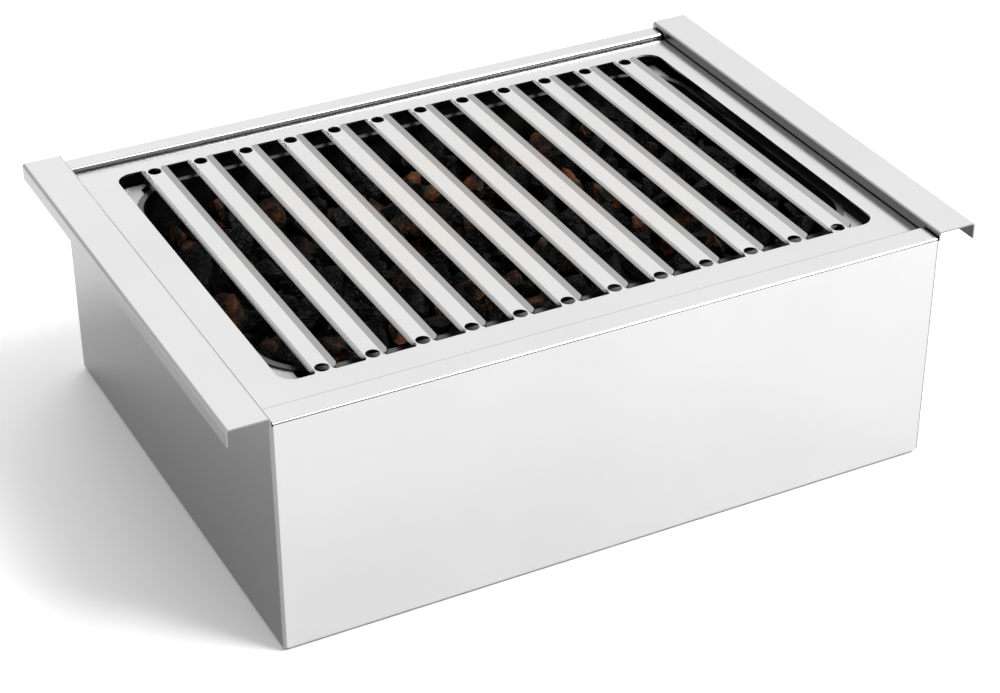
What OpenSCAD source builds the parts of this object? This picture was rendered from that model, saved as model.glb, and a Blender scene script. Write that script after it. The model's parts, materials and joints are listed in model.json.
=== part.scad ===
// Charcoal charbroiler in folded stainless sheet: an open box with side grips,
// a trough-bar grill plate set into its top, and a charcoal pan on four posts.
// Origin: centre of the footprint on the floor. +X right, +Y to the rear, +Z up.

/* [Case] */
// Width over the side walls, without the grips
case_w = 538; // [440:1:700]
// Depth of the case, front to rear
case_d = 420; // [340:1:560]
// Height of the front and rear rails above the floor
rail_h = 192; // [150:1:260]
// Thickness of the case sheet
sheet = 1.2; // [1:0.1:2]
// Outside radius of the folds
fold_r = 2.5; // [2:0.1:4]
// Width of the flat front rail
front_rail = 21.2; // [16:0.1:30]
// Width of the flat rear rail
rear_rail = 16.9; // [14:0.1:30]
// Depth of the wall that drops from each rail into the recess
recess_wall = 12; // [8:0.5:20]
// Gap between the floor and the lower edge of the case
floor_gap = 1.5; // [1:0.1:2.5]

/* [Side grips] */
// How far the side walls stand above the rails
grip_rise = 4.7; // [3:0.1:10]
// How far each grip reaches out from its side wall
grip_w = 31; // [24:1:45]
// Height of the lip along the outside of the grip
grip_lip = 13.2; // [8:0.1:20]

/* [Grill plate] */
// Thickness of the grill plate
plate_t = 1.5; // [1.2:0.1:2]
// Depth of the plate's top face below the rails
plate_drop = 4.4; // [3:0.1:7]
// Number of trough bars
bars = 12; // [6:1:14]
// Spacing of the bars
bar_pitch = 38.4; // [34:0.1:42]
// Width of the flat bottom of a trough bar
bar_flat = 13.2; // [10:0.1:16]
// Width of the neck at each end of a bar
bar_neck = 14.8; // [12:0.1:18]
// Width of each upturned side of a bar
bar_wing = 5; // [3:0.1:6]
// Angle that the sides of a bar are turned up
wing_angle = 33; // [20:1:45]
// Width of the opening that the bars cross
opening_w = 485.8; // [440:0.1:500]
// Length of the opening, front to rear
opening_d = 333; // [260:1:340]
// Corner radius of the opening
opening_r = 13; // [8:1:20]
// Diameter of the drain hole at each end of a bar
drain_d = 10.8; // [8:0.1:12]
// Distance of the drain holes' centres in from the opening's ends
drain_inset = 5.6; // [4:0.1:8]

/* [Charcoal pan] */
// Width of the pan over its rim
pan_w = 488; // [420:1:500]
// Depth of the pan over its rim, front to rear
pan_d = 311; // [260:1:320]
// Height of the pan
pan_h = 110; // [80:1:130]
// Corner radius of the rim
pan_r = 50; // [30:1:60]
// Thickness of the pan sheet
pan_t = 1.5; // [1:0.1:2]
// Width of the flat rim around the pan
pan_rim = 5; // [4:0.5:8]
// Height of the charcoal grate above the pan floor
grate_lift = 38; // [25:1:50]

/* [Base] */
// Diameter of the foot pads
foot_d = 30; // [20:1:40]
// Number of air slots in the rear panel
air_slots = 9; // [5:1:12]

/* [Hidden] */
$fn = 48;

// The plate and the pan lie towards the rear right corner, within their clearance.
inset_x = 4;
inset_y = 6;

half_w = case_w / 2;
half_d = case_d / 2;
base_z = floor_gap;                       // lower edge of the case
grip_z = rail_h + grip_rise;              // top of the side grips
recess_front = -half_d + front_rail;      // front and rear faces of the recess
recess_rear = half_d - rear_rail;
seat_z = rail_h - plate_drop - plate_t;   // underside of the grill plate
base_t = 1.5;                             // base plate thickness
base_top = base_z + sheet + base_t;       // top of the base plate
return_w = 18;                            // inward return along the lower edges

ledge_t = 1.5;                            // grill plate ledges
ledge_leg = 12;
ledge_front_w = 14;
ledge_rear_w = 11;
ledge_side_w = 13.5;

liner_gap = 7;                            // air gap behind the liners
liner_t = 1;
liner_top = rail_h - 30;
liner_z = base_top + 2;

post_z = rail_h - 13;                     // top face of the posts
post_out_x = 239.5;                       // outer faces, from the pan's centre
post_out_y = 160.5;
post_in_x = 226.5;
post_len = 44;                            // how far a post reaches along the side
post_t = 1.2;

rim_z = post_z + pan_t;                   // top of the pan's rim
pan_floor = rim_z - pan_h;
body_w = pan_w - 2 * pan_rim + 2 * pan_t; // pan walls, outside
body_d = pan_d - 2 * pan_rim + 2 * pan_t;
body_r = pan_r - pan_rim + pan_t;

channel_len = 438;                        // grease channels
channel_in = 156;                         // inner and outer faces, from the pan's centre
channel_out = 174;
channel_h = 16;
channel_t = 1;

grate_t = 3;
grate_z = pan_floor + pan_t + grate_lift; // underside of the grate
bed_z = grate_z + grate_t;                // underside of the charcoal
bed_slab = 26;
lump = 26;
lump_pitch = 33;
lump_cols = 14;
lump_rows = 8;

// Quarter of a folded sheet, its centre at [x, y], in the quadrant [sx, sy].
module fold(x, y, sx, sy, r = fold_r, t = sheet) {
    translate([x, y])
        intersection() {
            difference() {
                circle(r);
                circle(r - t);
            }
            translate([sx > 0 ? 0 : -r, sy > 0 ? 0 : -r]) square(r);
        }
}

// Rectangle between two corners.
module span(x0, y0, x1, y1) {
    translate([min(x0, x1), min(y0, y1)]) square([abs(x1 - x0), abs(y1 - y0)]);
}

// Rectangle of w by d with round corners, about the origin.
module round_rect(w, d, r) {
    for (sx = [-1, 1]) for (sy = [-1, 1])
        translate([sx * (w / 2 - r), sy * (d / 2 - r)]) circle(r, $fn = 64);
    square([w - 2 * r, d], center = true);
    square([w, d - 2 * r], center = true);
}

// Extrude a profile drawn in Y and Z along X.
module along_x(length) {
    rotate([90, 0, 90]) translate([0, 0, -length / 2]) linear_extrude(length) children();
}

// Extrude a profile drawn in X and Z along Y.
module along_y(length) {
    rotate([90, 0, 0]) translate([0, 0, -length / 2]) linear_extrude(length) children();
}

// Front or rear wall in section: lower return, wall, rail and recess wall.
module end_profile(rail) {
    outer = -half_d;
    inner = -half_d + rail;
    span(outer + fold_r, base_z, outer + return_w, base_z + sheet);
    fold(outer + fold_r, base_z + fold_r, -1, -1);
    span(outer, base_z + fold_r, outer + sheet, rail_h - fold_r);
    fold(outer + fold_r, rail_h - fold_r, -1, 1);
    span(outer + fold_r, rail_h - sheet, inner - fold_r, rail_h);
    fold(inner - fold_r, rail_h - fold_r, 1, 1);
    span(inner - sheet, rail_h - recess_wall, inner, rail_h - fold_r);
}

// Side wall in section, up to the corner folds' tops: lower return and wall.
module wall_profile() {
    span(half_w - return_w, base_z, half_w - fold_r, base_z + sheet);
    fold(half_w - fold_r, base_z + fold_r, 1, -1);
    span(half_w - sheet, base_z + fold_r, half_w, rail_h - fold_r);
}

// The rest of that section: the wall beside the rails, the grip and its lip.
module grip_profile() {
    inner = half_w - sheet;
    out = half_w + grip_w;
    span(inner, rail_h - fold_r, half_w, grip_z - fold_r);
    fold(inner + fold_r, grip_z - fold_r, -1, 1);
    span(inner + fold_r, grip_z - sheet, out - fold_r, grip_z);
    fold(out - fold_r, grip_z - fold_r, 1, 1);
    span(out - sheet, grip_z - grip_lip, out, grip_z - fold_r);
}

// Upright corner fold of a side wall, up to the rails.
module corner_fold(end) {
    translate([0, 0, base_z + fold_r])
        linear_extrude(rail_h - base_z - 2 * fold_r)
            fold(half_w - fold_r, end * (half_d - fold_r), 1, end);
}

module side_panel() {
    color([0.8, 0.8, 0.81]) {
        along_y(case_d - 2 * fold_r) wall_profile();
        along_y(case_d) grip_profile();
        corner_fold(-1);
        corner_fold(1);
    }
}

module left_panel() mirror([1, 0, 0]) side_panel();
module right_panel() side_panel();

end_len = case_w - 2 * fold_r;

// The corners of the lower return are cut back to clear the side walls' returns.
module end_panel(rail) {
    difference() {
        along_x(end_len) end_profile(rail);
        for (s = [-1, 1])
            translate([s * half_w, -half_d + fold_r + 20, 0])
                cube([2 * return_w + 1, 40, 2 * (base_z + fold_r)], center = true);
    }
}

module front_panel() color([0.86, 0.86, 0.87]) end_panel(front_rail);

module rear_panel() color([0.86, 0.86, 0.87])
    difference() {
        mirror([0, 1, 0]) end_panel(rear_rail);
        air_slot_row(half_d - sheet / 2);
    }

// Row of upright air slots through a wall at the depth y.
module air_slot_row(y) {
    slot_pitch = 40;
    for (i = [0 : air_slots - 1])
        translate([(i - (air_slots - 1) / 2) * slot_pitch, y, 44])
            for (dz = [-12, 12]) {
                translate([0, 0, dz]) rotate([90, 0, 0]) cylinder(d = 8, h = 10, center = true);
                cube([8, 10, 24], center = true);
            }
}

// Base: lies on the lower returns of the four walls.
foot_x = half_w - 48;
foot_y = half_d - 34.5;
foot_bore = 4.2;

module base_plate() color([0.72, 0.72, 0.73])
    difference() {
        translate([0, 0, base_top - base_t / 2])
            cube([case_w - 2 * sheet - 3, case_d - 2 * sheet - 3, base_t], center = true);
        foot_places() cylinder(d = foot_bore, h = 60, center = true);
        base_rivet_places() cylinder(d = 3.4, h = 60, center = true);
        post_screw_places() cylinder(d = 4.3, h = 60, center = true);
    }

module foot_places()
    for (sx = [-1, 1]) for (sy = [-1, 1])
        translate([sx * foot_x, sy * foot_y, 0]) children();

// Foot pad: a silicone disc with a recess for its rivet's head.
module foot(sx, sy) color([0.12, 0.12, 0.12])
    translate([sx * foot_x, sy * foot_y, 0])
        difference() {
            cylinder(d = foot_d, h = base_top - base_t);
            translate([0, 0, -1]) cylinder(d = foot_bore, h = 10);
            translate([0, 0, -1]) cylinder(d = 10, h = 1.9);
        }

module foot_front_left() foot(-1, -1);
module foot_front_right() foot(1, -1);
module foot_rear_left() foot(-1, 1);
module foot_rear_right() foot(1, 1);

module foot_rivets() color([0.7, 0.7, 0.7])
    foot_places() {
        translate([0, 0, 0.4]) cylinder(d = 9, h = 0.5);
        translate([0, 0, 0.4]) cylinder(d = foot_bore - 0.2, h = base_top - 0.4 + 0.8);
        translate([0, 0, base_top]) cylinder(d = 7, h = 0.8);
    }

// Rivets that join the base plate to the lower returns.
module base_rivet_places() {
    for (x = [-180, -60, 60, 180]) for (s = [-1, 1])
        translate([x, s * (half_d - 12), 0]) children();
    for (y = [-120, 0, 120]) for (s = [-1, 1])
        translate([s * (half_w - 12), y, 0]) children();
}

module base_rivets() color([0.75, 0.75, 0.75])
    base_rivet_places() {
        translate([0, 0, base_top]) cylinder(d = 6.4, h = 1.2);
        translate([0, 0, base_top - base_t]) cylinder(d = 3.2, h = base_t + 0.5);
    }

// Ledges: angles that carry the grill plate, welded inside the recess.
module ledge_profile(width) {
    span(0, seat_z - ledge_t, width, seat_z);
    span(0, seat_z - ledge_leg, ledge_t, seat_z);
}

module plate_ledge_front() color([0.7, 0.7, 0.71])
    translate([0, recess_front, 0])
        along_x(case_w - 2 * sheet - 1) ledge_profile(ledge_front_w);

module plate_ledge_rear() color([0.7, 0.7, 0.71])
    translate([0, recess_rear, 0])
        along_x(case_w - 2 * sheet - 1) mirror([1, 0]) ledge_profile(ledge_rear_w);

module side_ledge() {
    y0 = recess_front + ledge_front_w + 0.5;
    y1 = recess_rear - ledge_rear_w - 0.5;
    translate([half_w - sheet, (y0 + y1) / 2, 0])
        along_y(y1 - y0) mirror([1, 0]) ledge_profile(ledge_side_w);
}

module plate_ledge_left() color([0.7, 0.7, 0.71]) mirror([1, 0, 0]) side_ledge();
module plate_ledge_right() color([0.7, 0.7, 0.71]) side_ledge();

// Liners: heat shields that stand off the walls on folded edges.
module liner_profile(wall) {
    face = wall + liner_gap;
    span(wall, liner_z, face, liner_z + liner_t);
    span(face, liner_z, face + liner_t, liner_top);
    span(wall, liner_top - liner_t, face, liner_top);
}

module liner_front() color([0.1, 0.1, 0.1])
    along_x(case_w - 2 * sheet - 2) liner_profile(-half_d + sheet);

module liner_rear() color([0.1, 0.1, 0.1])
    difference() {
        mirror([0, 1, 0])
            along_x(case_w - 2 * sheet - 2) liner_profile(-half_d + sheet);
        air_slot_row(half_d - sheet - liner_gap);
    }

module side_liner()
    along_y(case_d - 2 * (sheet + liner_gap + liner_t) - 1) liner_profile(-half_w + sheet);

module liner_left() color([0.1, 0.1, 0.1]) side_liner();
module liner_right() color([0.1, 0.1, 0.1]) mirror([1, 0, 0]) side_liner();

// Floor shield: a tray turned upside down between the pan and the base.
shield_w = 430;
shield_d = 270;
shield_z = base_top + 26;

module floor_shield() color([0.6, 0.6, 0.61])
    translate([inset_x, inset_y, 0]) {
        translate([0, 0, shield_z - 0.5]) cube([shield_w, shield_d, 1], center = true);
        for (s = [-1, 1])
            translate([s * (shield_w / 2 - 0.5), 0, (base_top + shield_z) / 2])
                cube([1, shield_d, shield_z - base_top], center = true);
    }

// Posts: folded corner uprights whose tops carry the pan's rim.
module post_body() {
    h = post_z - base_top;
    back = post_out_y - post_len;
    wall_from = post_out_y - 32;
    difference() {
        union() {
            translate([0, 0, post_z - post_t]) linear_extrude(post_t) post_top(back);
            translate([post_out_x - post_t, wall_from, base_top])
                cube([post_t, post_out_y - wall_from, h]);
            translate([post_in_x, post_out_y - post_t, base_top])
                cube([post_out_x - post_in_x, post_t, h]);
            translate([post_out_x - 20, back, base_top])
                cube([20, 32, post_t]);
        }
        post_screw_at() cylinder(d = 4.3, h = 40, center = true);
    }
}

// Top of a post: a strip with one cut corner, hollowed to follow the pan.
module post_top(back)
    difference() {
        polygon([
            [post_in_x, back], [post_out_x, back], [post_out_x, post_out_y],
            [post_in_x - 6, post_out_y], [post_in_x - 6, post_out_y - 3],
            [post_in_x, post_out_y - 8]
        ]);
        round_rect(body_w + 1, body_d + 1, body_r + 0.5);
    }

module post_screw_at()
    for (dy = [7, 19])
        translate([post_out_x - 12, post_out_y - post_len + dy, base_top]) children();

module at_corner(sx, sy)
    translate([inset_x, inset_y, 0])
        mirror([sx < 0 ? 1 : 0, 0, 0]) mirror([0, sy < 0 ? 1 : 0, 0]) children();

module post_screw_places()
    for (sx = [-1, 1]) for (sy = [-1, 1]) at_corner(sx, sy) post_screw_at() children();

module post_front_left() color([0.75, 0.75, 0.76]) at_corner(-1, -1) post_body();
module post_front_right() color([0.75, 0.75, 0.76]) at_corner(1, -1) post_body();
module post_rear_left() color([0.75, 0.75, 0.76]) at_corner(-1, 1) post_body();
module post_rear_right() color([0.75, 0.75, 0.76]) at_corner(1, 1) post_body();

module post_screws() color([0.7, 0.7, 0.7])
    post_screw_places() {
        translate([0, 0, post_t]) cylinder(d = 7.5, h = 2.2);
        translate([0, 0, -base_t]) cylinder(d = 4, h = base_t + post_t + 1);
    }

// Charcoal pan: deep tray with round corners and a flat rim.
module charcoal_pan() color([0.07, 0.07, 0.07])
    translate([inset_x, inset_y, 0])
        difference() {
            union() {
                translate([0, 0, rim_z - pan_t]) linear_extrude(pan_t)
                    round_rect(pan_w, pan_d, pan_r);
                translate([0, 0, pan_floor]) linear_extrude(pan_h)
                    round_rect(body_w, body_d, body_r);
            }
            translate([0, 0, pan_floor + pan_t]) linear_extrude(pan_h)
                round_rect(body_w - 2 * pan_t, body_d - 2 * pan_t, body_r - pan_t);
        }

// Grease channels: troughs under the drain holes, hung on the pan's long sides.
module grease_channel() {
    top = rim_z - pan_t;
    bottom = top - channel_h;
    difference() {
        translate([-channel_len / 2, body_d / 2, bottom])
            cube([channel_len, channel_out - body_d / 2, channel_h]);
        translate([-channel_len / 2 + channel_t, channel_in, bottom + channel_t])
            cube([channel_len - 2 * channel_t, channel_out - channel_in - channel_t, channel_h]);
        translate([-channel_len, body_d / 2 + channel_t, bottom - 1])
            cube([2 * channel_len, channel_in - body_d / 2 - 2 * channel_t, channel_h + 1 - channel_t]);
    }
}

module grease_channel_front() color([0.1, 0.1, 0.1])
    translate([inset_x, inset_y, 0]) mirror([0, 1, 0]) grease_channel();
module grease_channel_rear() color([0.1, 0.1, 0.1])
    translate([inset_x, inset_y, 0]) grease_channel();

// Charcoal grate: perforated sheet on two folded feet.
grate_w = body_w - 14;
grate_d = body_d - 14;

module charcoal_grate() color([0.16, 0.15, 0.15])
    translate([inset_x, inset_y, 0]) {
        difference() {
            translate([0, 0, grate_z]) linear_extrude(grate_t)
                round_rect(grate_w, grate_d, body_r - 8);
            for (i = [-10 : 10]) for (j = [-2 : 2])
                translate([i * 20, j * 50, grate_z]) cube([8, 38, 20], center = true);
        }
        for (s = [-1, 1])
            translate([s * 150, 0, (pan_floor + pan_t + grate_z) / 2])
                cube([2, 200, grate_lift], center = true);
    }

// True at the places in the bed that hold an ember lump in place of charcoal.
function is_ember(i, j) = (3 * i + 5 * j) % 7 == 0;
function lump_x(i) = (i - (lump_cols - 1) / 2) * lump_pitch;
function lump_y(j) = (j - (lump_rows - 1) / 2) * lump_pitch * 1.05;
function lump_size(i, j) = lump * (0.82 + 0.18 * sin(131 * i + 77 * j));

// Angular lump: two turned blocks cut to what they share.
module coal_lump(size, turn)
    rotate([turn % 40 - 20, (2 * turn) % 40 - 20, turn])
        intersection() {
            cube([size * 1.1, size * 0.85, size * 0.95], center = true);
            rotate([38, 31, 24]) cube(size * 1.05, center = true);
        }

module bed_lumps(ember)
    for (i = [0 : lump_cols - 1]) for (j = [0 : lump_rows - 1])
        if (is_ember(i, j) == ember)
            translate([lump_x(i), lump_y(j), bed_z + bed_slab + (ember ? 15.5 : 6)])
                coal_lump(lump_size(i, j), 67 * i + 41 * j);

module charcoal() color([0.05, 0.05, 0.05])
    translate([inset_x, inset_y, 0]) {
        translate([0, 0, bed_z]) linear_extrude(bed_slab)
            round_rect(body_w - 12, body_d - 12, body_r - 7);
        bed_lumps(false);
    }

module embers() color([0.45, 0.2, 0.08])
    translate([inset_x, inset_y, 0]) bed_lumps(true);

// Grill plate: one sheet, with bars cut and folded out of it.
plate_l = -half_w + sheet + 3.8;
plate_r = half_w - sheet - 1.2;
plate_f = recess_front + 3.7;
plate_b = recess_rear - 1.6;
wing_len = opening_d - 4;
wing_r = 3;

// Upturned side of a bar, hinged on the flat's edge at x = bar_flat / 2.
module bar_side() {
    translate([bar_flat / 2, 0, 0]) rotate([0, -wing_angle, 0])
        linear_extrude(plate_t) wing_outline();
}

// Side of a bar laid flat, its two free corners rounded.
module wing_outline() {
    span(-0.6, -wing_len / 2, bar_wing - wing_r, wing_len / 2);
    span(-0.6, -wing_len / 2 + wing_r, bar_wing, wing_len / 2 - wing_r);
    for (s = [-1, 1])
        translate([bar_wing - wing_r, s * (wing_len / 2 - wing_r)]) circle(wing_r, $fn = 32);
}

module bar_outline() {
    neck_len = 3;
    square([bar_flat, opening_d + 1], center = true);
    for (s = [-1, 1])
        translate([0, s * (opening_d / 2 - neck_len / 2 + 0.5)])
            square([bar_neck, neck_len], center = true);
}

module grill_plate() color([0.9, 0.9, 0.9])
    translate([0, 0, seat_z]) {
        difference() {
            linear_extrude(plate_t)
                difference() {
                    span(plate_l, plate_f, plate_r, plate_b);
                    translate([inset_x, inset_y]) round_rect(opening_w, opening_d, opening_r);
                }
            bar_places() drain_holes();
        }
        bar_places() {
            difference() {
                linear_extrude(plate_t) bar_outline();
                drain_holes();
            }
            bar_side();
            mirror([1, 0, 0]) bar_side();
        }
    }

module bar_places()
    for (i = [0 : bars - 1])
        translate([inset_x + (i - (bars - 1) / 2) * bar_pitch, inset_y, 0]) children();

module drain_holes()
    for (s = [-1, 1])
        translate([0, s * (opening_d / 2 - drain_inset), -5]) cylinder(d = drain_d, h = 12);

front_panel();
rear_panel();
left_panel();
right_panel();
base_plate();
foot_front_left();
foot_front_right();
foot_rear_left();
foot_rear_right();
foot_rivets();
base_rivets();
plate_ledge_front();
plate_ledge_rear();
plate_ledge_left();
plate_ledge_right();
liner_front();
liner_rear();
liner_left();
liner_right();
floor_shield();
post_front_left();
post_front_right();
post_rear_left();
post_rear_right();
post_screws();
charcoal_pan();
grease_channel_front();
grease_channel_rear();
charcoal_grate();
charcoal();
embers();
grill_plate();
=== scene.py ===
"""Looks of the charcoal charbroiler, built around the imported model.

The row frame: metres, +X right, +Y to the rear, +Z up, origin on the floor under the middle.
"""

import json
import math
import random

import bmesh
import bpy
from mathutils import Euler, Matrix, Vector, noise


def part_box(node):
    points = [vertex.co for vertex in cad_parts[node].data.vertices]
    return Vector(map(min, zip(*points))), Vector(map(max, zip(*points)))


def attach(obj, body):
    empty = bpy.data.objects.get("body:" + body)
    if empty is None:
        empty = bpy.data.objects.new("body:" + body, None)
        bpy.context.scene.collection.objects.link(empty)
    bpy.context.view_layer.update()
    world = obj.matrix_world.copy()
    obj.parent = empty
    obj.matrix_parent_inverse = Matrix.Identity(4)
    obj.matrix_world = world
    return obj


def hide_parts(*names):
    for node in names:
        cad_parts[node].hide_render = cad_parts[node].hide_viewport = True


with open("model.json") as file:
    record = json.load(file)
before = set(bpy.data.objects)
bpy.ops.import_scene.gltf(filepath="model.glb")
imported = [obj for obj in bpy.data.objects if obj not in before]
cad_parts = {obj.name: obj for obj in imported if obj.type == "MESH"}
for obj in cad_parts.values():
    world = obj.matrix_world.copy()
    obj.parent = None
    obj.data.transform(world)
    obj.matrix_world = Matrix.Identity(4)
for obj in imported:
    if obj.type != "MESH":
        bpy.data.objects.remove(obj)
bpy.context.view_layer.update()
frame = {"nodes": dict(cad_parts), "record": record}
NODES = frame["nodes"]


# ---------------------------------------------------------------- camera, light and floor

CAMERA_AT = (-0.7580, -1.4932, 1.1042)
CAMERA_TURN = math.radians(27.10)      # turned to the right of +Y
CAMERA_DOWN = math.radians(33.00)      # tilted below the horizon
CAMERA_ROLL = math.radians(-0.27)
LENS_MM = 89.8
LENS_SHIFT = (0.0038, 0.0445)
FLOOR_HALF = 12.0

# Each is a direction, the angles from it where the light is full and gone, and its strength.
# The first is even light all round. The negative one keeps the horizon dim at the rear right, so
# that folded edges show as dark lines.
SKY_GLOWS = [
    ((0, 0, 1), 179, 180, 0.5),
    ((0.55, 0.8, -0.05), 14, 34, -0.38),
    ((0, 0, 1), 24, 58, 0.65),
    ((0.45, 0.72, 0.53), 16, 36, 1.24),
    ((-0.45, 0.75, 0.45), 12, 32, 0.4),
]


def make_camera():
    data = bpy.data.cameras.new("camera")
    data.lens = LENS_MM
    data.sensor_width = 36.0
    data.shift_x, data.shift_y = LENS_SHIFT
    data.clip_start = 0.05
    cam = bpy.data.objects.new("camera", data)
    cam.location = CAMERA_AT
    aim = Euler((math.pi / 2 - CAMERA_DOWN, 0, -CAMERA_TURN), "XYZ").to_matrix()
    cam.rotation_euler = (aim @ Matrix.Rotation(CAMERA_ROLL, 3, "Z")).to_euler()
    bpy.context.scene.collection.objects.link(cam)
    bpy.context.scene.camera = cam


def area_light(name, at, aim, size, power):
    data = bpy.data.lights.new(name, "AREA")
    data.size = size
    data.energy = power
    lamp = bpy.data.objects.new(name, data)
    lamp.location = at
    towards = Vector(aim) - Vector(at)
    lamp.rotation_euler = towards.to_track_quat("-Z", "Y").to_euler()
    bpy.context.scene.collection.objects.link(lamp)


def sky_glow(nodes, links, towards, inner, outer, strength):
    """Light from one side: full within inner degrees of a direction, none past outer."""
    coords = nodes.new("ShaderNodeTexCoord")
    unit = nodes.new("ShaderNodeVectorMath")
    unit.operation = "NORMALIZE"
    links.new(coords.outputs["Generated"], unit.inputs[0])
    dot = nodes.new("ShaderNodeVectorMath")
    dot.operation = "DOT_PRODUCT"
    links.new(unit.outputs["Vector"], dot.inputs[0])
    dot.inputs[1].default_value = Vector(towards).normalized()
    fade = nodes.new("ShaderNodeMapRange")
    fade.interpolation_type = "SMOOTHSTEP"
    fade.inputs["From Min"].default_value = math.cos(math.radians(outer))
    fade.inputs["From Max"].default_value = math.cos(math.radians(inner))
    fade.inputs["To Max"].default_value = strength
    links.new(dot.outputs["Value"], fade.inputs["Value"])
    return fade.outputs["Result"]


def make_world():
    """A white studio, as the sum of the glows in SKY_GLOWS."""
    world = bpy.data.worlds.new("studio")
    world.use_nodes = True
    nodes, links = world.node_tree.nodes, world.node_tree.links
    background = nodes["Background"]
    background.inputs["Color"].default_value = (1, 1, 1, 1)
    total = sky_glow(nodes, links, *SKY_GLOWS[0])
    for glow in SKY_GLOWS[1:]:
        total = combine(nodes, links, "ADD", total, sky_glow(nodes, links, *glow))
    links.new(total, background.inputs["Strength"])
    bpy.context.scene.world = world


def make_floor():
    mesh = bpy.data.meshes.new("floor")
    half = FLOOR_HALF
    corners = [(-half, -half, 0), (half, -half, 0), (half, half, 0), (-half, half, 0)]
    mesh.from_pydata(corners, [], [(0, 1, 2, 3)])
    floor = bpy.data.objects.new("floor", mesh)
    bpy.context.scene.collection.objects.link(floor)
    mat, bsdf, nodes, links = new_material("floor_white")
    bsdf.inputs["Base Color"].default_value = (0.93, 0.93, 0.93, 1)
    bsdf.inputs["Roughness"].default_value = 0.9
    mesh.materials.append(mat)


# ---------------------------------------------------------------- materials

STEEL = (0.46, 0.46, 0.46)
SIDE_WALL_PAINTED_SHADE = (0.22, 0.22, 0.22)     # painted shade: a darker tone for the upright faces of the side panels, standing in for the shaded floor they reflect
HEATED_STEEL = (0.46, 0.42, 0.37)   # straw tint over the fire
SOFT_SHINE = 0.12            # specular level of charcoal, which is all but matt
EMBER_GLOW = 0.35            # emission strength where an ember is hottest


def new_material(name):
    mat = bpy.data.materials.new(name)
    mat.use_nodes = True
    nodes, links = mat.node_tree.nodes, mat.node_tree.links
    bsdf = nodes["Principled BSDF"]
    return mat, bsdf, nodes, links


def place_coords(nodes, links, scale):
    """Object coordinates stretched by scale, so that grain and grime have real sizes."""
    coords = nodes.new("ShaderNodeTexCoord")
    mapping = nodes.new("ShaderNodeMapping")
    mapping.inputs["Scale"].default_value = scale
    links.new(coords.outputs["Object"], mapping.inputs["Vector"])
    return mapping.outputs["Vector"]


def noise_at(nodes, links, vector, scale, detail=2.0, rough=0.5):
    tex = nodes.new("ShaderNodeTexNoise")
    tex.inputs["Scale"].default_value = scale
    tex.inputs["Detail"].default_value = detail
    tex.inputs["Roughness"].default_value = rough
    links.new(vector, tex.inputs["Vector"])
    return tex.outputs["Fac"]


def remap(nodes, links, value, lo, hi, from_lo=0.3, from_hi=0.7):
    node = nodes.new("ShaderNodeMapRange")
    node.inputs["From Min"].default_value = from_lo
    node.inputs["From Max"].default_value = from_hi
    node.inputs["To Min"].default_value = lo
    node.inputs["To Max"].default_value = hi
    links.new(value, node.inputs["Value"])
    return node.outputs["Result"]


def mix_colour(nodes, links, factor, a, b):
    node = nodes.new("ShaderNodeMix")
    node.data_type = "RGBA"
    for socket, colour in ((node.inputs[6], a), (node.inputs[7], b)):
        if isinstance(colour, tuple):
            socket.default_value = (*colour, 1)
        else:
            links.new(colour, socket)
    links.new(factor, node.inputs[0])
    return node.outputs[2]


def combine(nodes, links, operation, a, b):
    node = nodes.new("ShaderNodeMath")
    node.operation = operation
    links.new(a, node.inputs[0])
    links.new(b, node.inputs[1])
    return node.outputs[0]


def add_bump(nodes, links, bsdf, height, strength, distance):
    bump = nodes.new("ShaderNodeBump")
    bump.inputs["Strength"].default_value = strength
    bump.inputs["Distance"].default_value = distance
    links.new(height, bump.inputs["Height"])
    links.new(bump.outputs["Normal"], bsdf.inputs["Normal"])


def brushed_steel(name, grain, tone=STEEL, rough=(0.16, 0.2), tint=None, wall=None):
    """Satin stainless: fine brush lines along one axis, faint smears and a straw tint over a fire.

    With wall, upright faces take that tone, which is painted shade: it darkens them as the shaded
    floor beside them would in reflection.
    """
    mat, bsdf, nodes, links = new_material(name)
    fine = [2200.0] * 3
    fine["XYZ".index(grain)] = 22.0
    brush = noise_at(nodes, links, place_coords(nodes, links, fine), 1.0, 2.0)
    at = place_coords(nodes, links, (1, 1, 1))
    cloud = noise_at(nodes, links, at, 6.0, 3.0, 0.55)
    smear = noise_at(nodes, links, at, 42.0, 5.0, 0.65)
    speck = noise_at(nodes, links, at, 700.0, 3.0, 0.6)
    dark = tuple(c * 0.95 for c in tone)
    colour = mix_colour(nodes, links, remap(nodes, links, cloud, 0, 1), dark, tone)
    flecked = tuple(c * 0.85 for c in tone)
    fleck_mask = remap(nodes, links, speck, 0, 0.2, 0.62, 0.8)
    colour = mix_colour(nodes, links, fleck_mask, colour, flecked)
    if tint:
        colour = mix_colour(nodes, links, fire_mask(nodes, links), colour, tint)
    # painted shade: upright faces take the darker wall tone
    if wall:
        colour = mix_colour(nodes, links, upright_mask(nodes, links), colour, wall)
    links.new(colour, bsdf.inputs["Base Color"])
    smeared = remap(nodes, links, smear, *rough)
    streaks = remap(nodes, links, brush, -0.02, 0.02)
    links.new(combine(nodes, links, "ADD", smeared, streaks), bsdf.inputs["Roughness"])
    bsdf.inputs["Metallic"].default_value = 1.0
    add_bump(nodes, links, bsdf, brush, 0.014, 0.0002)
    return mat


def upright_mask(nodes, links):
    """One on upright faces, nothing on level ones."""
    coords = nodes.new("ShaderNodeTexCoord")
    split = nodes.new("ShaderNodeSeparateXYZ")
    links.new(coords.outputs["Normal"], split.inputs[0])
    level = nodes.new("ShaderNodeMath")
    level.operation = "ABSOLUTE"
    links.new(split.outputs["Z"], level.inputs[0])
    return remap(nodes, links, level.outputs[0], 1, 0, 0.2, 0.8)


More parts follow.
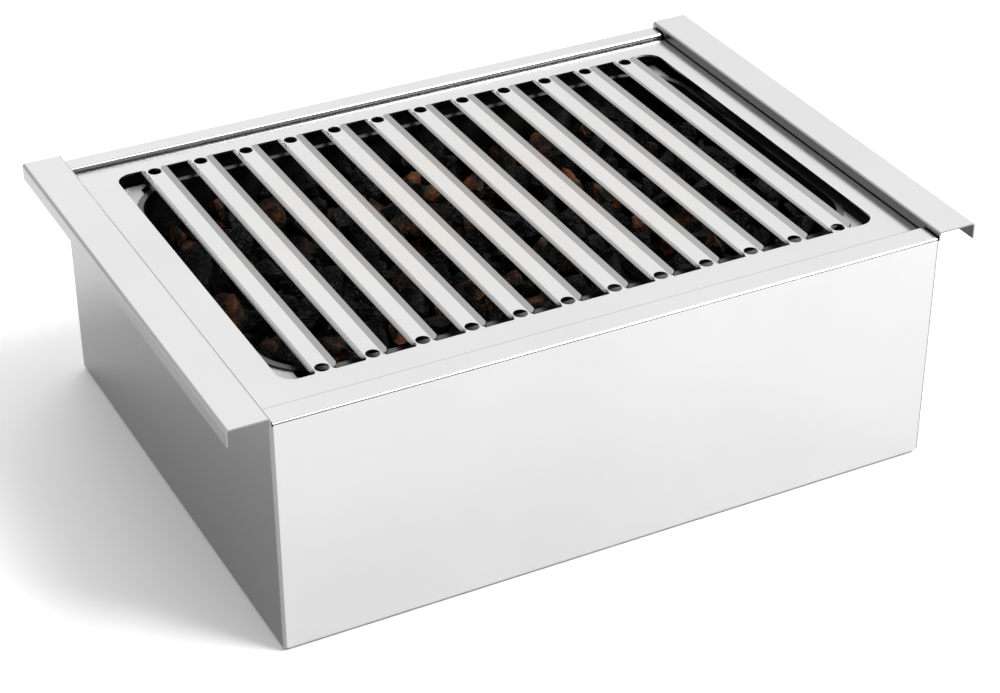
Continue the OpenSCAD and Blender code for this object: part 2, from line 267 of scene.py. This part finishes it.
def fire_mask(nodes, links):
    """A soft patch over the middle of the fire, broken up by noise."""
    low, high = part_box("embers")
    centre = [(a + b) / 2 for a, b in zip(low, high)]
    coords = nodes.new("ShaderNodeTexCoord")
    mapping = nodes.new("ShaderNodeMapping")
    mapping.vector_type = "TEXTURE"
    mapping.inputs["Location"].default_value = centre
    mapping.inputs["Scale"].default_value = ((high[0] - low[0]) / 2, (high[1] - low[1]) / 2, 1)
    links.new(coords.outputs["Object"], mapping.inputs["Vector"])
    ball = nodes.new("ShaderNodeTexGradient")
    ball.gradient_type = "SPHERICAL"
    links.new(mapping.outputs["Vector"], ball.inputs["Vector"])
    patch = noise_at(nodes, links, place_coords(nodes, links, (1, 1, 1)), 16.0, 4.0, 0.6)
    middle = remap(nodes, links, ball.outputs["Fac"], 0, 0.5, 0, 0.6)
    return combine(nodes, links, "MULTIPLY", middle, remap(nodes, links, patch, 0.2, 1))


def grate_iron(name):
    """Dark steel that has scaled in the fire: brown-grey patches and a rough skin."""
    mat, bsdf, nodes, links = new_material(name)
    at = place_coords(nodes, links, (1, 1, 1))
    scale = noise_at(nodes, links, at, 90.0, 6.0, 0.65)
    scaled = remap(nodes, links, scale, 0, 1)
    colour = mix_colour(nodes, links, scaled, (0.02, 0.019, 0.019), (0.09, 0.06, 0.045))
    links.new(colour, bsdf.inputs["Base Color"])
    links.new(remap(nodes, links, scale, 0.5, 0.85), bsdf.inputs["Roughness"])
    bsdf.inputs["Metallic"].default_value = 0.6
    add_bump(nodes, links, bsdf, scale, 0.3, 0.0005)
    return mat


# On the pan this black is its own colour; on the liners and grease gutters it is painted shade, a
# black sheet where the gaps under the plate are dark.
def black_enamel(name):
    """Black heat-proof enamel: glossy, with a dull sooty bloom and a slight orange-peel skin."""
    mat, bsdf, nodes, links = new_material(name)
    at = place_coords(nodes, links, (1, 1, 1))
    bloom = noise_at(nodes, links, at, 24.0, 6.0, 0.65)
    peel = noise_at(nodes, links, at, 420.0, 2.0)
    sooty = remap(nodes, links, bloom, 0, 0.5)
    colour = mix_colour(nodes, links, sooty, (0.003, 0.003, 0.003), (0.014, 0.013, 0.012))
    links.new(colour, bsdf.inputs["Base Color"])
    links.new(remap(nodes, links, bloom, 0.18, 0.42), bsdf.inputs["Roughness"])
    add_bump(nodes, links, bsdf, peel, 0.08, 0.0004)
    return mat


def plain_rubber(name):
    """Matt black silicone with a little dust on it."""
    mat, bsdf, nodes, links = new_material(name)
    at = place_coords(nodes, links, (1, 1, 1))
    dust = noise_at(nodes, links, at, 120.0, 4.0)
    dusty = remap(nodes, links, dust, 0, 1)
    colour = mix_colour(nodes, links, dusty, (0.015, 0.015, 0.015), (0.04, 0.04, 0.04))
    links.new(colour, bsdf.inputs["Base Color"])
    bsdf.inputs["Roughness"].default_value = 0.7
    add_bump(nodes, links, bsdf, dust, 0.1, 0.0002)
    return mat


def charcoal_look(name):
    """Charred wood: black, faintly blue, with fine grain, shrinkage cracks and a little ash."""
    mat, bsdf, nodes, links = new_material(name)
    at = place_coords(nodes, links, (1, 1, 1))
    patch = noise_at(nodes, links, at, 60.0, 5.0, 0.6)
    ash = noise_at(nodes, links, at, 260.0, 6.0, 0.7)
    worn = remap(nodes, links, patch, 0, 1)
    body = mix_colour(nodes, links, worn, (0.0008, 0.0009, 0.0011), (0.0028, 0.0034, 0.0042))
    ashy = remap(nodes, links, ash, 0, 0.4, 0.6, 0.78)
    colour = mix_colour(nodes, links, ashy, body, (0.035, 0.034, 0.033))
    links.new(colour, bsdf.inputs["Base Color"])
    links.new(remap(nodes, links, patch, 0.4, 0.75), bsdf.inputs["Roughness"])
    bsdf.inputs["Specular IOR Level"].default_value = SOFT_SHINE
    add_bump(nodes, links, bsdf, crackle(nodes, links), 0.7, 0.001)
    return mat


def ember_look(name):
    """Dull embers: dark red and brown, orange where hottest, olive ash, and black where cold."""
    mat, bsdf, nodes, links = new_material(name)
    at = place_coords(nodes, links, (1, 1, 1))
    heat = noise_at(nodes, links, at, 48.0, 3.0, 0.55)
    ash = noise_at(nodes, links, at, 110.0, 6.0, 0.7)
    hot = remap(nodes, links, heat, 0, 1, 0.52, 0.7)
    glow = mix_colour(nodes, links, hot, (0.022, 0.0075, 0.005), (0.12, 0.034, 0.013))
    ashy = remap(nodes, links, ash, 0, 0.85, 0.48, 0.62)
    dusty = mix_colour(nodes, links, ashy, glow, (0.055, 0.043, 0.02))
    cold = remap(nodes, links, heat, 1, 0, 0.42, 0.54)
    colour = mix_colour(nodes, links, cold, dusty, (0.003, 0.003, 0.003))
    links.new(colour, bsdf.inputs["Base Color"])
    links.new(glow, bsdf.inputs["Emission Color"])
    strength = remap(nodes, links, heat, 0.0, EMBER_GLOW, 0.56, 0.72)
    links.new(strength, bsdf.inputs["Emission Strength"])
    links.new(remap(nodes, links, ash, 0.6, 0.9), bsdf.inputs["Roughness"])
    bsdf.inputs["Specular IOR Level"].default_value = SOFT_SHINE
    add_bump(nodes, links, bsdf, crackle(nodes, links), 0.7, 0.001)
    return mat


def crackle(nodes, links):
    """Height of burnt wood: small blocks parted by shrinkage cracks, over fine grain."""
    cells = nodes.new("ShaderNodeTexVoronoi")
    cells.feature = "DISTANCE_TO_EDGE"
    cells.inputs["Scale"].default_value = 1.0
    links.new(place_coords(nodes, links, (150, 260, 210)), cells.inputs["Vector"])
    grain = noise_at(nodes, links, place_coords(nodes, links, (260, 900, 700)), 1.0, 3.0, 0.6)
    blocks = remap(nodes, links, cells.outputs["Distance"], 0, 1, 0, 0.12)
    return combine(nodes, links, "ADD", blocks, grain)


# ---------------------------------------------------------------- charcoal

LUMP = 0.028                 # size that the lumps' sizes are multiples of
LUMP_PITCH = (0.028, 0.027)  # spacing of the lumps over the bed
LUMP_INSET = 0.9             # the outer lumps' distance in from both edges together, in lumps
JITTER = (0.004, 0.003)      # how far a lump may stray along the bed, and up or down
BED_LAYERS = ((0.32, 1.25), (0.62, 1.2), (0.89, 1.05))   # height in the bed, size of lumps
LUMP_POINTS = 13             # points whose hull is one lump
DENT_SCALE = 130             # how close together the dents on a lump lie, per metre
FINE_DENTS = 3.1             # how many times closer the finer dents lie
DENT_DEPTHS = (0.05, 0.035)  # depth of the dents and the finer ones, as a share of a lump
DENT_SHIFT = 57              # sets the dents of one lump apart from its neighbour's
PAN_CORNER = 0.045           # corner radius inside the pan
BED_CORNER = 0.0395          # corner radius of the charcoal's outline
WALL_SLACK = 0.003           # how far lumps may lean out towards the pan's wall
EMBER_SHARE = 0.27           # share of the lumps above the first layer that are alight
EMBER_PATCH = 19.8           # how close together the glowing patches lie, per metre


def kept_in_pan(point, low, high):
    """The point itself, or the nearest one inside the bed's rounded outline and over the grate."""
    core_low = [low[k] + BED_CORNER for k in (0, 1)]
    core_high = [high[k] - BED_CORNER for k in (0, 1)]
    near = Vector((min(max(point[k], core_low[k]), core_high[k]) for k in (0, 1)))
    out = point.xy - near
    limit = BED_CORNER + WALL_SLACK
    if out.length > limit:
        out = out.normalized() * limit
    return Vector((near.x + out.x, near.y + out.y, max(point.z, low[2])))


def lump_shape(rng, centre, size, turn):
    """One angular piece: the hull of a few random points, its faces split and roughened."""
    bm = bmesh.new()
    stretch = Vector((rng.uniform(0.9, 1.25), rng.uniform(0.75, 1.0), rng.uniform(0.65, 0.9)))
    for _ in range(LUMP_POINTS):
        way = Vector((rng.gauss(0, 1), rng.gauss(0, 1), rng.gauss(0, 1))).normalized()
        reach = rng.uniform(0.86, 1.0) * size / 2
        bm.verts.new(Vector(a * b for a, b in zip(way, stretch)) * reach)
    hull = bmesh.ops.convex_hull(bm, input=bm.verts)
    loose = [v for v in hull["geom_interior"] if isinstance(v, bmesh.types.BMVert)]
    bmesh.ops.delete(bm, geom=loose, context="VERTS")
    bmesh.ops.subdivide_edges(bm, edges=bm.edges, cuts=3, use_grid_fill=True)
    place = Matrix.Translation(centre) @ turn.to_matrix().to_4x4()
    for v in bm.verts:
        seed = v.co * DENT_SCALE + Vector(centre) * DENT_SHIFT
        rough = noise.noise(seed) * DENT_DEPTHS[0]
        rough += noise.noise(seed * FINE_DENTS) * DENT_DEPTHS[1]
        v.co = place @ (v.co + v.co.normalized() * size * rough)
    bm.verts.index_update()
    verts = [v.co.copy() for v in bm.verts]
    faces = [[v.index for v in f.verts] for f in bm.faces]
    bm.free()
    return verts, faces


def lump_piece(name, spots, slot, replaced):
    """All the lumps of one kind as one piece, which rides with the grate for a CAD node."""
    low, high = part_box("charcoal")
    verts, faces = [], []
    for spot in spots:
        lump_verts, lump_faces = lump_shape(*spot)
        faces += [[len(verts) + i for i in face] for face in lump_faces]
        verts += [kept_in_pan(v, low, high) for v in lump_verts]
    mesh = bpy.data.meshes.new(name)
    mesh.from_pydata(verts, [], faces)
    mesh.materials.append(LOOKS[slot])
    piece = bpy.data.objects.new(name, mesh)
    bpy.context.scene.collection.objects.link(piece)
    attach(piece, "grate")
    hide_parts(replaced)


def charcoal_bed():
    """Loose layers of lumps over the grate, those above the first alight in patches."""
    low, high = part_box("charcoal")
    rng = random.Random(11)
    coals, embers = [], []
    cols = int((high[0] - low[0] - LUMP) / LUMP_PITCH[0])
    rows = int((high[1] - low[1] - LUMP) / LUMP_PITCH[1])
    for layer, (lift, size) in enumerate(BED_LAYERS):
        for i in range(cols + 1):
            for j in range(rows + 1):
                u = (i + 0.5 * ((j + layer) % 2)) / (cols + 0.5) - 0.5
                v = j / rows - 0.5
                x = (low[0] + high[0]) / 2 + u * (high[0] - low[0] - LUMP_INSET * LUMP)
                y = (low[1] + high[1]) / 2 + v * (high[1] - low[1] - LUMP_INSET * LUMP)
                x += rng.uniform(-JITTER[0], JITTER[0])
                y += rng.uniform(-JITTER[0], JITTER[0])
                z = low[2] + lift * (high[2] - low[2]) + rng.uniform(-JITTER[1], JITTER[1])
                grown = LUMP * size * rng.uniform(0.95, 1.35)
                turn = Euler([rng.uniform(0, math.tau) for _ in range(3)])
                if not inside_pan(x, y, low, high, 0.2 * grown):
                    continue
                patch = noise.noise(Vector((x, y, 0)) * EMBER_PATCH)
                alight = layer > 0 and rng.random() < EMBER_SHARE + 0.5 * patch
                (embers if alight else coals).append((rng, (x, y, z), grown, turn))
    lump_piece("charcoal_lumps", coals, "charcoal", "charcoal")
    lump_piece("ember_lumps", embers, "ember", "embers")


def inside_pan(x, y, low, high, margin):
    """True where a lump of this margin stays inside the pan's round corners."""
    dx = max(low[0] + PAN_CORNER - x, x - (high[0] - PAN_CORNER), 0)
    dy = max(low[1] + PAN_CORNER - y, y - (high[1] - PAN_CORNER), 0)
    return math.hypot(dx, dy) + margin < PAN_CORNER


def dress(node, mat):
    """Give a CAD node one material."""
    obj = NODES[node]
    if not obj.material_slots:
        obj.data.materials.append(mat)
    for slot in obj.material_slots:
        slot.material = mat


# ---------------------------------------------------------------- the scene

make_camera()
make_world()
make_floor()
area_light("key", (2.1, -1.85, 3.3), (0.05, -0.3, 0), 2.2, 258)

LOOKS = {
    "case_steel": brushed_steel("case_steel_along_x", "X"),
    "plate_steel": brushed_steel("plate_steel", "Y", rough=(0.17, 0.22), tint=HEATED_STEEL),
    "inner_steel": brushed_steel("inner_steel", "X", (0.38, 0.38, 0.38), (0.34, 0.46)),
    "black_enamel": black_enamel("black_enamel"),
    "grate_iron": grate_iron("grate_iron"),
    "pad_silicone": plain_rubber("pad_silicone"),
    "fastener_steel": brushed_steel("fastener_steel", "Z", (0.55, 0.55, 0.55), (0.2, 0.3)),
    "charcoal": charcoal_look("charcoal"),
    "ember": ember_look("ember"),
}
# the side panels' steel, with painted shade on their upright faces
shaded_side_steel = brushed_steel("case_steel_along_y_painted_shade", "Y", wall=SIDE_WALL_PAINTED_SHADE)
for subpart in frame["record"]["subparts"]:
    slot = subpart["material_slot"]
    sideways = subpart["node"] in ("left_panel", "right_panel")
    dress(subpart["node"], shaded_side_steel if sideways else LOOKS[slot])

charcoal_bed()

bpy.context.scene.view_settings.view_transform = "Standard"
